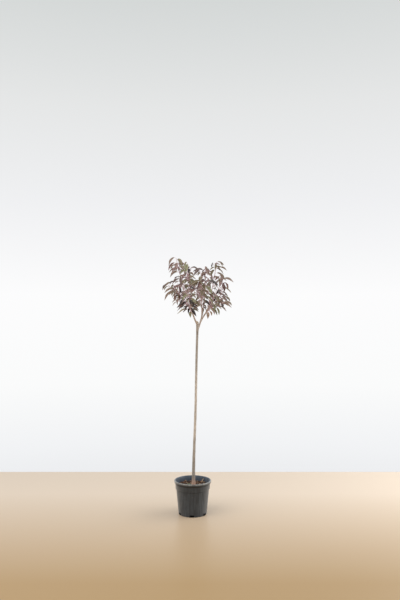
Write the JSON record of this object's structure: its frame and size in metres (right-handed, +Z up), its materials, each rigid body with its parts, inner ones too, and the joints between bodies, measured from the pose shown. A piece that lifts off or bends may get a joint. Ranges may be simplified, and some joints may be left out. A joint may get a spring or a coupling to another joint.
{
  "type": "royal burgundy japanese cherry",
  "caption": "Purple-leaved japanese cherry grown as a top-grafted standard: a round open crown of arching shoots on a tall clear stem, planted in a black nursery pot.",
  "frame": {"origin": "centre of the pot's flat underside", "axes": "+Z up along the stem, +X to the tree's right as it is seen from the front, the front facing -Y"},
  "size_m": [0.5422, 0.5515, 1.9407],
  "materials": {
    "pot": "dark grey moulded plastic, matt with a slight sheen",
    "soil": "brown bark-chip compost, rough",
    "bark": "grey-brown cherry bark with lenticels",
    "foliage": "burgundy-bronze leaves, soft sheen"
  },
  "bodies": {
    "root": {"pot": "pot", "soil": "soil", "trunk": "bark", "bough_left": "bark", "bough_centre": "bark", "bough_right": "bark", "bough_upper_left": "bark", "bough_side_left": "bark", "bough_lower_left": "bark", "bough_back_left": "bark", "bough_front": "bark", "bough_back": "bark", "bough_upper_right": "bark", "bough_side_right": "bark", "bough_lower_right": "bark", "foliage_left": "foliage", "foliage_centre": "foliage", "foliage_right": "foliage", "foliage_upper_left": "foliage", "foliage_side_left": "foliage", "foliage_lower_left": "foliage", "foliage_back_left": "foliage", "foliage_front": "foliage", "foliage_back": "foliage", "foliage_upper_right": "foliage", "foliage_side_right": "foliage", "foliage_lower_right": "foliage"}
  },
  "joints": []
}
